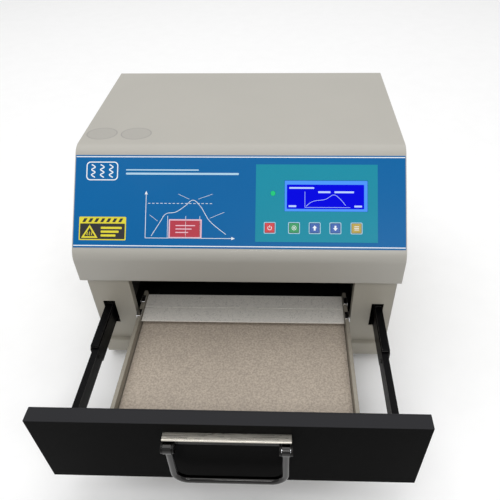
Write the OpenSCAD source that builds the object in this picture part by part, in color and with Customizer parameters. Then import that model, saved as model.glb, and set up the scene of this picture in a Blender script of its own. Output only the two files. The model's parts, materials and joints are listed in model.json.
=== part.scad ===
// Benchtop infrared reflow oven with a pull-out tray, shown with its drawer open.
// Millimetres. +Z is up, the front faces -Y, and the origin is on the bench under the middle of the
// whole object as it stands with the drawer out. Inside place(), y = 0 is the front plane of the apron.

/* [Cabinet] */

// Width of the cabinet
body_w = 330; // [324:1:336]
// Height from the bench to the top of the cover
body_h = 243; // [241:1:246]
// Depth from the apron to the back edge of the cover
body_d = 271; // [268:1:276]
// Radius of the two large bends in the cover
bend_r = 18; // [12:1:20]
// Height of the rubber feet
foot_h = 8; // [6:1:10]

/* [Drawer] */

// Travel of the drawer from open to closed
travel = 158; // [150:1:160]
// Width of the drawer front
front_w = 332; // [328:1:334]
// Height of the drawer front
front_h = 91.6; // [88:0.2:93]
// Width of the tray plate
plate_w = 226; // [216:1:227]

/* [Handle] */

// Radius of the bail rod
bail_r = 3.2; // [3:0.1:4]
// Distance between the middles of the two bail legs
bail_w = 97; // [90:1:100]
// Drop from the pivot to the middle of the grip
bail_drop = 53.5; // [45:0.5:60]

/* [Rendering] */

// Facets that stand for a true circle
round_fn = 48; // [24:4:96]
// Which node to draw

/* [Hidden] */

sheet = 1.2;
eps = 0.01;

// Cover profile: heights hang from the top, depths start at the apron
apron_z = body_h - 112.2;
nose_z = body_h - 77.8;
crest_y = 79;
slope = atan2(body_h - nose_z, crest_y);
half_w = body_w / 2;
side_x = half_w - sheet;

// Slanted panel: local x is the oven's x, local y runs up the slope, local z points outwards
panel_y = 6.17;
panel_z = nose_z + panel_y * tan(slope);
panel_len = 93.2;

// Lower front
face_y = 14.1;
ledge_z = body_h - 216;
ledge_y = 7.5;
mouth_x = 120.5;
mouth_low = 38;
mouth_top = 122;

// Rear
rear_y = body_d - 2 * sheet - 0.2;
guard_y = 6;

// Drawer
drawer_face = -0.2 - travel;
drawer_t = 13.3;
drawer_low = body_h - 209.9;
drawer_back_y = drawer_face + drawer_t;
plate_z = 62;
plate_t = 1.5;
tray_x = plate_w / 2 + 4.3;
tray_rear = 46;
wall_top = 73;

// Slides
slide_z = 67;
outer_front = face_y + sheet + 0.8;
outer_rear = 260;
middle_front = -46;
middle_len = 200;
inner_len = 200;
strap_x = 104;

// Handle
handle_gap = 9;
pivot_y = drawer_face - handle_gap;
pivot_z = 103;
pin_r = 2;
eye_r = 5;

// Chamber and electronics
liner_x = 123;
liner_front = face_y + sheet + 2;
liner_rear = 240;
liner_low = 79;
liner_top = 150;
shelf_z = liner_top + sheet + 12;
tube_z = 131;
tube_ys = [48, 98, 148, 198];
tube_r = 5;
probe_y = 226;
probe_z = 121;

// Fan
fan_size = 80;
fan_t = 25;
fan_z = 112;
fan_bore = 38;

// Rear services
inlet_x = 112;
inlet_z = 62;
switch_z = 100;
fuse_z = 130;

// Whole object's depth at rest sets the origin
y_min = pivot_y - eye_r;
y_max = rear_y + sheet + guard_y;
mid_y = (y_min + y_max) / 2;

// Control artwork positions on the slanted panel: x, then distance up the slope
key_xs = [31.1, 55, 75.2, 95.4, 116];
key_s = 20.9;
key_w = 9.4;
key_gap = 0.25;
key_out = 0.9;
key_travel = 0.5;
lcd = [45.4, 37.4, 127, 68.3];
teal = [17, 7, 136.7, 84.2];
led_x = 34;
led_s = 55.2;

// ---------- helpers ----------

// Puts the cabinet frame into the object's frame
module place() {
    translate([0, -mid_y, 0]) children();
}

// Puts panel coordinates on the slanted face
module on_panel() {
    translate([0, panel_y, panel_z]) rotate([slope, 0, 0]) children();
}

// Box between two corners
module box(a, b) {
    translate(a) cube([b[0] - a[0], b[1] - a[1], b[2] - a[2]]);
}

// Round bars along each axis, centred on a point
module bar_x(p, r, l) {
    translate(p) rotate([0, 90, 0]) cylinder(r = r, h = l, center = true, $fn = round_fn);
}

module bar_y(p, r, l) {
    translate(p) rotate([90, 0, 0]) cylinder(r = r, h = l, center = true, $fn = round_fn);
}

module bar_z(p, r, l) {
    translate(p) cylinder(r = r, h = l, center = true, $fn = round_fn);
}

// Both signs of x
module both_sides() {
    for (side = [-1, 1]) scale_x(side) children();
}

module scale_x(side) {
    if (side < 0) mirror([1, 0, 0]) children();
    else children();
}

// One straight run of sheet: from (y, z) point a to b, material on the right of the way it runs
module run(a, b, w, t) {
    len = norm(b - a);
    ang = atan2(b[1] - a[1], b[0] - a[0]);
    translate([-w / 2, a[0], a[1]]) rotate([ang, 0, 0]) translate([0, 0, -t]) cube([w, len, t]);
}

// One bend of sheet that turns clockwise from heading h0 to heading h1 round centre c
module bend(c, r, h0, h1, w, t) {
    turn = h0 - h1;
    translate([-w / 2, c[0], c[1]]) rotate([90, 0, 90])
        rotate([0, 0, 90 + h1]) rotate_extrude(angle = turn, $fn = round_fn)
            translate([r - t, 0]) square([t, w]);
}

function dir(h) = [cos(h), sin(h)];
function right_of(h) = [sin(h), -cos(h)];

// Centre of a clockwise bend of radius r at sharp corner p, between headings h0 and h1
function bend_centre(p, r, h0, h1) = p - dir(h0) * r * tan((h0 - h1) / 2) + right_of(h0) * r;

// ---------- cabinet ----------

// Cover corners with their headings
corner_nose = [0, nose_z];
corner_top = [crest_y, body_h];
c_nose = bend_centre(corner_nose, bend_r, 90, slope);
c_top = bend_centre(corner_top, bend_r, slope, 0);
rear_r = 3;
hem_r = 2.4;

// Points of an arc round c from angle a0 to a1
function arc(c, r, a0, a1, n) = [for (k = [0:1:n]) c + r * dir(a0 + (a1 - a0) * k / n)];

// The cover's line in the (y, z) plane, drawn in by i, from the apron's hem to the rear bend
function cover_line(i) = concat(
    arc([hem_r, apron_z + hem_r], hem_r - i, 270, 180, 5),
    arc(c_nose, bend_r - i, 180, 90 + slope, 14),
    arc(c_top, bend_r - i, 90 + slope, 90, 14),
    arc([body_d - rear_r, body_h - rear_r], rear_r - i, 90, 0, 6)
);

function reversed(list) = [for (k = [len(list) - 1:-1:0]) list[k]];

// Extrudes a (y, z) outline from x0 to x1
module along_x(x0, x1) {
    translate([x0, 0, 0]) rotate([90, 0, 90]) linear_extrude(x1 - x0) children();
}

module top_cover() {
    color([0.75, 0.74, 0.7]) place() difference() {
        along_x(-half_w, half_w) polygon(concat(
            [[10, apron_z]], cover_line(0), [[body_d, body_h - 14]],
            [[body_d - sheet, body_h - 14]], reversed(cover_line(sheet)), [[10, apron_z + sheet]]
        ));
        on_panel() panel_holes(3, -3, 0.3);
    }
}

// Window, lamp and key openings of the slanted panel, from local height z0 to z1
module panel_holes(z1, z0, grow) {
    translate([lcd[0] - grow, lcd[1] - grow, z0])
        cube([lcd[2] - lcd[0] + 2 * grow, lcd[3] - lcd[1] + 2 * grow, z1 - z0]);
    translate([led_x, led_s, z0]) cylinder(r = 2.6, h = z1 - z0, $fn = round_fn);
    for (x = key_xs) key_block(x, key_w / 2 + key_gap, z0, z1);
}

module key_block(x, h, z0, z1) {
    translate([x - h, key_s - h, z0]) cube([2 * h, 2 * h, z1 - z0]);
}

// Side panels follow the cover's underside
module side_panel() {
    along_x(side_x, half_w) polygon(concat(
        [[face_y, foot_h], [face_y, apron_z + sheet]],
        cover_line(sheet),
        [[body_d - sheet, foot_h]]
    ));
}

module side_panel_right() {
    color([0.72, 0.71, 0.67]) place() side_panel();
}

module side_panel_left() {
    color([0.72, 0.71, 0.67]) place() mirror([1, 0, 0]) side_panel();
}

slot_x = [142, 155];
slot_low = 53;
slot_top = 87.5;

module front_frame() {
    w = side_x;
    color([0.7, 0.69, 0.65]) place() {
        difference() {
            box([-w, face_y, ledge_z], [w, face_y + sheet, apron_z + 6]);
            box([-mouth_x, face_y - 1, mouth_low], [mouth_x, face_y + 3, mouth_top]);
            both_sides()
                box([slot_x[0], face_y - 1, slot_low], [slot_x[1], face_y + 3, slot_top]);
        }
        // returns round the mouth
        both_sides()
            box([mouth_x, face_y + sheet - eps, mouth_low], [mouth_x + sheet, face_y + 9, mouth_top]);
        box([-mouth_x - sheet, face_y + sheet - eps, mouth_low - sheet],
            [mouth_x + sheet, face_y + 9, mouth_low]);
    }
}

vent_w = 46;
vent_pitch = 56;
vent_rows = [94, 130, 166, 202];

module base_pan() {
    w = side_x;
    back = rear_y;
    color([0.7, 0.69, 0.65]) place() difference() {
        union() {
            box([-w, ledge_y + 3, foot_h], [w, back, foot_h + sheet]);
            bend([ledge_y + 3, foot_h + 3], 3, 180, 90, 2 * w, sheet);
            run([ledge_y, foot_h + 3], [ledge_y, ledge_z - 3], 2 * w, sheet);
            bend([ledge_y + 3, ledge_z - 3], 3, 90, 0, 2 * w, sheet);
            box([-w, ledge_y + 3 - eps, ledge_z - sheet], [w, face_y + 8, ledge_z]);
            both_sides() box([w - sheet, ledge_y + 8, foot_h], [w, back, ledge_z - sheet]);
            box([-w, back - sheet, foot_h], [w, back, ledge_z]);
        }
        // rows of long vent slots under the chamber
        for (y = vent_rows) for (i = [-2:1:1])
            vent_slot((i + 0.5) * vent_pitch, y + 18, vent_w, 9, foot_h);
        both_sides() for (y = [40, 238]) bar_z([foot_x, y, foot_h], 2.1, 8);
    }
}

// Round-ended slot of length l and width w through a sheet at height z
module vent_slot(x, y, l, w, z) {
    straight = l - w;
    translate([x - straight / 2, y - w / 2, z - 2]) cube([straight, w, 5]);
    for (s = [-1, 1]) translate([x + s * straight / 2, y, z - 2])
        cylinder(r = w / 2, h = 5, $fn = round_fn);
}

// Black plate on the chassis floor under the tray, its slots staggered from the base's
module floor_plate() {
    z = foot_h + sheet + 4;
    color([0.05, 0.05, 0.05]) place() difference() {
        union() {
            box([-119, 26, z], [119, 240, z + 1]);
            // spacers on the base
            both_sides() for (y = [30, 232]) box([104, y, foot_h + sheet], [114, y + 6, z + eps]);
        }
        for (y = vent_rows) for (i = [-2:1:1]) vent_slot((i + 0.5) * vent_pitch, y, vent_w, 8, z);
    }
}

foot_x = 140;

module rubber_feet() {
    color([0.06, 0.06, 0.06]) place() both_sides() for (y = [40, 238]) difference() {
        translate([foot_x, y, 0]) cylinder(r1 = 8, r2 = 9.5, h = foot_h, $fn = round_fn);
        translate([foot_x, y, -1]) cylinder(r = 4.5, h = 4.2, $fn = round_fn);
        bar_z([foot_x, y, foot_h], 2.1, 20);
    }
}

module foot_screws() {
    color([0.7, 0.7, 0.72]) place() both_sides() for (y = [40, 238]) translate([foot_x, y, 3.2]) {
        translate([0, 0, -2]) cylinder(r = 3.6, h = 2, $fn = round_fn);
        translate([0, 0, -eps]) cylinder(r = 2, h = 9, $fn = round_fn);
    }
}

module rear_panel() {
    w = side_x;
    color([0.7, 0.69, 0.65]) place() difference() {
        box([-w, rear_y, foot_h + sheet], [w, rear_y + sheet, body_h - rear_r]);
        bar_y([0, rear_y, fan_z], fan_bore - 1, 8);
        fan_screws() bar_y([0, rear_y, 0], 2.2, 8);
        box([inlet_x - 14, rear_y - 2, inlet_z - 10.5], [inlet_x + 14, rear_y + 4, inlet_z + 10.5]);
        box([inlet_x - 11, rear_y - 2, switch_z - 7], [inlet_x + 11, rear_y + 4, switch_z + 7]);
        bar_y([inlet_x, rear_y, fuse_z], 6.5, 8);
        // upper air slots over the electronics
        for (i = [-5:1:5]) box([i * 11 - 2, rear_y - 2, 178], [i * 11 + 2, rear_y + 4, 208]);
    }
}

module fan_screws() {
    s = 35.75;
    for (x = [-s, s]) for (z = [-s, s]) translate([x, 0, fan_z + z]) children();
}

rear_screw_points = [[-150, 40], [150, 40], [-150, 140], [150, 140], [-150, 222], [150, 222]];

module rear_screws() {
    color([0.7, 0.7, 0.72]) place() {
        for (p = rear_screw_points) rear_screw(p[0], p[1]);
        fan_screws() rear_screw(0, 0);
        for (s = [-1, 1]) rear_screw(inlet_x + s * 20, inlet_z, 1.8);
    }
}

// Screw head on the rear face with no shank through the panel
module rear_screw(x, z, out = 0) {
    translate([x, rear_y + sheet + out, z]) rotate([-90, 0, 0]) difference() {
        cylinder(r = 2.8, h = 1.6, $fn = round_fn);
        translate([-2, -0.35, 0.9]) cube([4, 0.7, 2]);
        translate([-0.35, -2, 0.9]) cube([0.7, 4, 2]);
    }
}

// ---------- control panel ----------

module front_label() {
    color([0.12, 0.42, 0.64]) place() on_panel() difference() {
        box([-half_w + 1, 0, 0], [half_w - 1, panel_len, 0.3]);
        box([teal[0], teal[1], -1], [teal[2], teal[3], 1]);
    }
}

module keypad_overlay() {
    color([0.2, 0.6, 0.68]) place() on_panel() difference() {
        box([teal[0], teal[1], 0], [teal[2], teal[3], 0.4]);
        panel_holes(2, -2, 0);
    }
}

module display_glass() {
    color([0.02, 0.05, 0.8, 0.9]) place() on_panel()
        box([lcd[0] + 0.1, lcd[1] + 0.1, -3], [lcd[2] - 0.1, lcd[3] - 0.1, -0.1]);
}

module display_frame() {
    color([0.1, 0.1, 0.1]) place() on_panel() difference() {
        box([lcd[0] - 6, lcd[1] - 5, -8], [lcd[2] + 6, lcd[3] + 5, -sheet - 0.2]);
        box([lcd[0] - 0.4, lcd[1] - 0.4, -7], [lcd[2] + 0.4, lcd[3] + 0.4, 1]);
    }
}

module display_board() {
    color([0.05, 0.3, 0.12]) place() on_panel() {
        box([lcd[0] - 8, lcd[1] - 8, -9.8], [lcd[2] + 8, lcd[3] + 8, -8.2]);
        box([lcd[0] + 10, lcd[1] + 6, -12.4], [lcd[0] + 34, lcd[1] + 20, -9.8 + eps]);
        box([lcd[0] + 44, lcd[1] + 6, -12.4], [lcd[0] + 68, lcd[1] + 20, -9.8 + eps]);
    }
}

module status_led() {
    color([0.2, 0.9, 0.4]) place() on_panel() translate([led_x, led_s, 0]) {
        translate([0, 0, -7.9]) cylinder(r = 1.5, h = 7, $fn = round_fn);
        translate([0, 0, -1]) cylinder(r = 2.4, h = 1.6, $fn = round_fn);
    }
}

module control_board() {
    color([0.05, 0.32, 0.14]) place() on_panel() {
        box([22, key_s - 10, -9.6], [125, key_s + 8, -8]);
        box([22, key_s + 7, -9.6], [36, led_s + 6, -8]);
        // tactile switches under the keys
        for (x = key_xs) {
            box([x - 3, key_s - 3, -8 - eps], [x + 3, key_s + 3, -4.6]);
            translate([x, key_s, -5]) cylinder(r = 1.6, h = 1.3, $fn = round_fn);
        }
    }
}

// A square key with a pale step round its face
module key_cap(x) {
    h = key_w / 2;
    on_panel() {
        key_block(x, h, -3, key_out - 0.3);
        key_block(x, h - 0.8, -3, key_out);
    }
}

module key_power() {
    color([0.8, 0.15, 0.15]) place() key_cap(key_xs[0]);
}

module key_auto() {
    color([0.1, 0.6, 0.25]) place() key_cap(key_xs[1]);
}

module key_up() {
    color([0.08, 0.2, 0.5]) place() key_cap(key_xs[2]);
}

module key_down() {
    color([0.08, 0.2, 0.5]) place() key_cap(key_xs[3]);
}

module key_set() {
    color([0.75, 0.55, 0.15]) place() key_cap(key_xs[4]);
}

// ---------- electronics ----------

module electronics_shelf() {
    color([0.6, 0.6, 0.62]) place() {
        box([-side_x, outer_front, shelf_z], [side_x, rear_y - 1, shelf_z + sheet]);
        both_sides() box([side_x - sheet, outer_front + 20, shelf_z], [side_x, rear_y - 1, shelf_z + 10]);
    }
}

board_z = shelf_z + sheet + 6;

module power_board() {
    color([0.08, 0.3, 0.12]) place() {
        box([-150, 110, board_z], [-40, 225, board_z + 1.6]);
        for (x = [-145, -45]) for (y = [115, 220])
            translate([x, y, shelf_z + sheet]) cylinder(r = 3, h = 6.01, $fn = round_fn);
        // relay and screw terminals
        box([-70, 118, board_z + 1.5], [-50, 136, board_z + 17]);
        box([-140, 206, board_z + 1.5], [-80, 218, board_z + 12]);
    }
}

module transformer() {
    color([0.25, 0.25, 0.27]) place() {
        box([30, 140, shelf_z + sheet], [90, 190, shelf_z + sheet + 10]);
        box([30, 152, shelf_z + sheet + 10 - eps], [90, 178, shelf_z + sheet + 44]);
        box([42, 144, shelf_z + sheet + 12], [78, 186, shelf_z + sheet + 34]);
    }
}

module capacitors() {
    color([0.1, 0.12, 0.3]) place() for (x = [-135, -112, -89]) {
        translate([x, 150, board_z + 1.6]) cylinder(r = 9, h = 24, $fn = round_fn);
        translate([x, 150, board_z + 25]) cylinder(r = 7.6, h = 1.4, $fn = round_fn);
    }
}

module heatsink() {
    color([0.7, 0.72, 0.74]) place() {
        box([-140, 180, board_z + 1.6], [-60, 198, board_z + 5]);
        for (i = [0:1:9]) box([-140 + i * 8.6, 180, board_z + 4.9], [-137.8 + i * 8.6, 198, board_z + 30]);
    }
}

// ---------- chamber ----------

module tube_holes(r) {
    for (y = tube_ys) bar_x([0, y, tube_z], r, 2 * liner_x + 60);
}

module chamber_liner() {
    color([0.62, 0.62, 0.64]) place() difference() {
        box([-liner_x - sheet, liner_front, liner_low],
            [liner_x + sheet, liner_rear + sheet, liner_top + sheet]);
        box([-liner_x, liner_front + sheet, liner_low - 1], [liner_x, liner_rear, liner_top]);
        // open front above the tray
        box([-liner_x, liner_front - 1, liner_low - 1], [liner_x, liner_front + 3, mouth_top]);
        tube_holes(tube_r + 0.5);
        // exhaust slots in front of the fan
        for (i = [-5:1:5]) {
            x = i * 6.5;
            h = sqrt(pow(36, 2) - x * x);
            box([x - 1.8, liner_rear - 2, fan_z - min(h, 30)], [x + 1.8, liner_rear + 4, fan_z + min(h, 34)]);
        }
        bar_x([liner_x, probe_y, probe_z], 1.9, 12);
    }
}

module insulation() {
    color([0.9, 0.88, 0.82]) place()
        box([-liner_x - 6, liner_front + 4, liner_top + sheet], [liner_x + 6, liner_rear - 2, shelf_z]);
}

module reflector() {
    z = liner_top - 5;
    color([0.85, 0.86, 0.87]) place() {
        box([-118, liner_front + 8, z], [118, liner_rear - 6, z + 0.8]);
        // stiffening ridges between the tubes, and hangers to the liner roof
        for (i = [0:1:2]) box([-118, tube_ys[i] + 23, z - 5], [118, tube_ys[i] + 27, z + eps]);
        for (x = [-100, 100]) for (y = [40, 215]) box([x - 4, y - 4, z + 0.7], [x + 4, y + 4, liner_top]);
    }
}

module heater_tubes() {
    color([0.95, 0.9, 0.85, 0.6]) place() for (y = tube_ys) difference() {
        bar_x([0, y, tube_z], tube_r, 2 * liner_x + 26);
        bar_x([0, y, tube_z], tube_r - 1, 2 * liner_x + 40);
    }
}

module heater_filaments() {
    color([0.4, 0.35, 0.3]) place() for (y = tube_ys) {
        bar_x([0, y, tube_z], 1, 2 * liner_x + 20);
        for (i = [-9:1:9]) bar_x([i * 12, y, tube_z], 2, 7);
    }
}

module heater_end_caps() {
    color([0.92, 0.9, 0.85]) place() both_sides() for (y = tube_ys) difference() {
        bar_x([liner_x + 11.4, y, tube_z], 8, 16);
        bar_x([liner_x + 6.5, y, tube_z], tube_r, 13);
    }
}

module heater_brackets() {
    x = liner_x + sheet;
    color([0.66, 0.66, 0.68]) place() both_sides() difference() {
        union() {
            box([x, 30, tube_z - 12], [x + sheet, 216, liner_top + sheet]);
            box([x, 30, liner_top], [x + 4.5, 216, liner_top + sheet]);
        }
        for (y = tube_ys) bar_x([x, y, tube_z], tube_r + 0.5, 12);
    }
}

module thermocouple() {
    color([0.75, 0.72, 0.65]) place() {
        bar_x([liner_x - 14, probe_y, probe_z], 1.5, 50);
        translate([liner_x - 39, probe_y, probe_z]) sphere(r = 2.2, $fn = round_fn);
        bar_x([liner_x + sheet + 3, probe_y, probe_z], 3.4, 6);
    }
}

// ---------- rear ----------

fan_y0 = rear_y - fan_t;

module fan_frame() {
    h = fan_size / 2;
    color([0.08, 0.08, 0.08]) place() {
        difference() {
            box([-h, fan_y0, fan_z - h], [h, rear_y, fan_z + h]);
            bar_y([0, rear_y - fan_t / 2, fan_z], fan_bore, fan_t + 2);
            fan_screws() bar_y([0, rear_y - fan_t / 2, 0], 2.15, fan_t + 2);
        }
        // motor carrier with four arms and a bearing tube
        difference() {
            union() {
                bar_y([0, rear_y - 2, fan_z], 15, 3);
                for (a = [45:90:315]) translate([0, rear_y - 3.3, fan_z]) rotate([0, a, 0])
                    translate([12, 0, -2]) cube([fan_bore - 10, 2.6, 4]);
                bar_y([0, rear_y - 9, fan_z], 4, 12.4);
            }
            bar_y([0, rear_y - 12, fan_z], 1.55, 22);
        }
    }
}

module fan_rotor() {
    color([0.1, 0.1, 0.11]) place() translate([0, fan_y0 + 1.5, fan_z]) rotate([-90, 0, 0]) {
        // cup with its shaft in the bearing tube
        difference() {
            cylinder(r = 16, h = 18, $fn = round_fn);
            translate([0, 0, 2]) cylinder(r = 14.4, h = 20, $fn = round_fn);
        }
        cylinder(r = 1.5, h = 20, $fn = round_fn);
        for (i = [0:1:6]) rotate([0, 0, i * 360 / 7]) translate([15.2, 0, 9]) rotate([35, 0, 0])
            translate([0, -10, -0.6]) cube([20.5, 20, 1.2]);
    }
}

module wire_ring(r, wr) {
    rotate_extrude($fn = round_fn) translate([r, 0]) circle(r = wr, $fn = 16);
}

module fan_guard() {
    y = rear_y + sheet + 1;
    color([0.8, 0.8, 0.82]) place() {
        for (r = [10, 19, 28, 37]) translate([0, y + 1.8, fan_z]) rotate([90, 0, 0]) wire_ring(r, 0.9);
        for (a = [45:90:315]) translate([0, y, fan_z]) rotate([0, a, 0]) translate([9, 0, 0])
            rotate([0, 90, 0]) cylinder(r = 0.95, h = 38.2, $fn = 16);
        fan_screws() translate([0, y, 0]) rotate([90, 0, 0]) wire_ring(4, 0.95);
    }
}

module power_inlet() {
    y = rear_y + sheet;
    color([0.05, 0.05, 0.05]) place() {
        difference() {
            union() {
                box([inlet_x - 24, y, inlet_z - 11.5], [inlet_x + 24, y + 1.8, inlet_z + 11.5]);
                box([inlet_x - 13.8, y - 18, inlet_z - 10.3], [inlet_x + 13.8, y + 4, inlet_z + 10.3]);
            }
            box([inlet_x - 12, y - 14, inlet_z - 8], [inlet_x + 12, y + 9, inlet_z + 8]);
        }
        // three blade contacts
        for (p = [[-7, -2], [0, 2], [7, -2]])
            box([inlet_x + p[0] - 1, y - 14.5, inlet_z + p[1] - 2.5],
                [inlet_x + p[0] + 1, y + 1, inlet_z + p[1] + 2.5]);
    }
}

module fuse_holder() {
    y = rear_y + sheet;
    color([0.06, 0.06, 0.06]) place() {
        bar_y([inlet_x, y - 12.5, fuse_z], 6.3, 25);
        bar_y([inlet_x, y + 0.9, fuse_z], 9, 1.8);
        difference() {
            bar_y([inlet_x, y + 3.5, fuse_z], 6, 5);
            box([inlet_x - 4, y + 4.8, fuse_z - 0.6], [inlet_x + 4, y + 8, fuse_z + 0.6]);
        }
    }
}

rocker_r = 1.5;

module switch_body() {
    y = rear_y + sheet;
    color([0.05, 0.05, 0.05]) place() {
        difference() {
            union() {
                box([inlet_x - 13, y, switch_z - 9], [inlet_x + 13, y + 2, switch_z + 9]);
                box([inlet_x - 10.8, y - 16, switch_z - 6.8], [inlet_x + 10.8, y + eps, switch_z + 6.8]);
            }
            box([inlet_x - 9.4, y - 11, switch_z - 5.6], [inlet_x + 9.4, y + 3, switch_z + 5.6]);
        }
        // fixed pivot pin through the rocker
        bar_x([inlet_x, y - 3, switch_z], rocker_r, 19.4);
    }
}

// Rocker, tilted to its lower position at rest
module switch_rocker() {
    y = rear_y + sheet;
    color([0.7, 0.08, 0.06]) place() translate([inlet_x, y - 3, switch_z]) rotate([-8, 0, 0]) difference() {
        union() {
            bar_x([0, 0, 0], 3.4, 18);
            box([-9, 0, -4.6], [9, 5.4, 4.6]);
        }
        bar_x([0, 0, 0], rocker_r + 0.05, 30);
        // dished finger face
        bar_x([0, 17.6, 0], 13, 30);
    }
}

// ---------- slides ----------

// C channel: web at x0, flanges reaching to x1, along y
module channel(x0, x1, y0, y1, h, t = 1.2) {
    s = sign(x1 - x0);
    xa = min(x0, x0 + s * t);
    box([xa, y0, slide_z - h / 2], [xa + t, y1, slide_z + h / 2]);
    for (e = [-1, 1]) {
        za = slide_z + e * h / 2;
        box([min(x0, x1), y0, min(za, za - e * t)], [max(x0, x1), y1, max(za, za - e * t)]);
    }
}

module slide_bracket() {
    x = 156.6;
    for (y = [30, 225]) {
        box([x, y, foot_h + sheet], [x + sheet, y + 24, slide_z + 14]);
        box([x, y, foot_h + sheet], [side_x - sheet, y + 24, foot_h + 2 * sheet]);
    }
}

module slide_outer() {
    channel(156.6, 146, outer_front, outer_rear, 30);
    // bent stop at the back
    box([147, outer_rear - sheet, slide_z - 8], [156, outer_rear, slide_z + 8]);
}

module slide_middle() {
    difference() {
        channel(154.4, 146.5, middle_front, middle_front + middle_len, 25);
        // chamfered front corners
        for (e = [-1, 1]) translate([140, middle_front, slide_z + e * 12.5]) rotate([45, 0, 0])
            translate([0, -2.2, -2.2]) cube([20, 4.4, 4.4]);
    }
    // stop rivets
    for (y = [8, middle_len - 12])
        stop_rivet(153.3, middle_front + y, slide_z, 2.4, 0.4);
}

// Rivet head of radius r that stands h towards the middle of the oven
module stop_rivet(x, y, z, r, h) {
    translate([x, y, z]) rotate([0, -90, 0]) cylinder(r = r, h = h, $fn = round_fn);
}

module slide_inner() {
    channel(146, 152.6, drawer_back_y, drawer_back_y + inner_len, 18);
    // rivet head on the open side
    stop_rivet(146.1, middle_front - 3, slide_z + 2, 2.2, 0.9);
    // front tab against the drawer back, narrow enough to pass through the slot
    box([143, drawer_back_y, slide_z - 9], [154.6, drawer_back_y + sheet, slide_z + 9]);
    // rear strap under the tray
    box([strap_x, 24, slide_z - 9], [147, 44, plate_z - plate_t - 1]);
}

module slide_bracket_right() {
    color([0.6, 0.6, 0.62]) place() slide_bracket();
}

module slide_bracket_left() {
    color([0.6, 0.6, 0.62]) place() mirror([1, 0, 0]) slide_bracket();
}

module slide_outer_right() {
    color([0.08, 0.08, 0.08]) place() slide_outer();
}

module slide_outer_left() {
    color([0.08, 0.08, 0.08]) place() mirror([1, 0, 0]) slide_outer();
}

module slide_middle_right() {
    color([0.1, 0.1, 0.1]) place() slide_middle();
}

module slide_middle_left() {
    color([0.1, 0.1, 0.1]) place() mirror([1, 0, 0]) slide_middle();
}

module slide_inner_right() {
    color([0.07, 0.07, 0.07]) place() slide_inner();
}

module slide_inner_left() {
    color([0.07, 0.07, 0.07]) place() mirror([1, 0, 0]) slide_inner();
}

// ---------- drawer ----------

module drawer_front() {
    w = front_w / 2;
    t = 1.5;
    z1 = drawer_low + front_h;
    color([0.07, 0.07, 0.07]) place() difference() {
        box([-w, drawer_face, drawer_low], [w, drawer_back_y - 1.5, z1]);
        box([-w + t, drawer_face + t, drawer_low + t], [w - t, drawer_back_y + 1, z1 - t]);
        // screw holes for the handle
        for (x = [-24, 24]) bar_y([x, drawer_face, 103], 2, 8);
    }
}

module drawer_back() {
    w = front_w / 2;
    color([0.09, 0.09, 0.09]) place()
        box([-w, drawer_back_y - 1.5, drawer_low], [w, drawer_back_y, drawer_low + front_h]);
}

module tray_pan() {
    y0 = drawer_back_y;
    y1 = tray_rear;
    t = 1;
    low = plate_z - plate_t - t;
    color([0.66, 0.66, 0.68]) place() {
        box([-tray_x, y0, low], [tray_x, y1, low + t]);
        // sides folded over into a narrow rim
        both_sides() {
            box([tray_x - t, y0, low], [tray_x, y1, wall_top]);
            box([plate_w / 2 + 0.4, y0, wall_top - t], [tray_x, y1, wall_top]);
            box([plate_w / 2 + 0.4, y0, plate_z + 1], [plate_w / 2 + 0.4 + t, y1, wall_top]);
        }
        // front flange on the drawer back, low rear lip
        box([-tray_x, y0, low], [tray_x, y0 + t, wall_top]);
        box([-tray_x, y1 - t, low], [tray_x, y1, plate_z + 3]);
    }
}

strip_y = 2.6;
strip_w = 20.4;

module tray_plate() {
    w = plate_w / 2;
    color([0.64, 0.58, 0.52]) place()
        box([-w, drawer_back_y + 2, plate_z - plate_t], [w, tray_rear - 2, plate_z]);
}

// Two raised metal strips across the back of the tray
module tray_rear_strips() {
    w = plate_w / 2;
    top = plate_z + 6.5;
    color([0.76, 0.76, 0.78]) place() for (i = [0, 1]) {
        y0 = strip_y + i * (strip_w + 0.7);
        box([-w, y0, top - 1.2], [w, y0 + strip_w, top]);
        // rear lip, and feet at both ends, with the front edge left free
        box([-w, y0 + strip_w - 1.2, plate_z], [w, y0 + strip_w, top - eps]);
        both_sides() box([w - 1.2, y0 + 6, plate_z], [w, y0 + strip_w, top - eps]);
    }
}

// Small bright clips and screws that tie the strips to the tray walls
module tray_clips() {
    color([0.85, 0.85, 0.87]) place() both_sides() for (y = [10, 32]) {
        box([tray_x, y - 5, 60.5], [tray_x + 1, y + 5, wall_top + 2]);
        box([tray_x - 4, y - 5, wall_top], [tray_x + 1, y + 5, wall_top + 1]);
        translate([tray_x + 1 - eps, y, 66]) rotate([0, 90, 0]) cylinder(r = 2.2, h = 1.4, $fn = round_fn);
    }
}

module drawer_screws() {
    color([0.72, 0.72, 0.74]) place() both_sides() {
        // slide tabs, tray flange and handle, all on the drawer back
        back_screw(151.3, slide_z, sheet);
        back_screw(60, 67.5, 1);
        back_screw(24, 103, 0);
        // heads under the slide straps
        for (x = [111, 138]) translate([x, 34, slide_z - 9 - 1.6]) cylinder(r = 3.2, h = 1.6, $fn = round_fn);
    }
}

module back_screw(x, z, lift) {
    translate([x, drawer_back_y + lift, z]) rotate([-90, 0, 0]) difference() {
        cylinder(r = 3, h = 1.8, $fn = round_fn);
        translate([-2.2, -0.35, 1]) cube([4.4, 0.7, 2]);
        translate([-0.35, -2.2, 1]) cube([0.7, 4.4, 2]);
    }
}

// ---------- handle ----------

ear_t = 1.6;
eye_w = 7;

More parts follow.
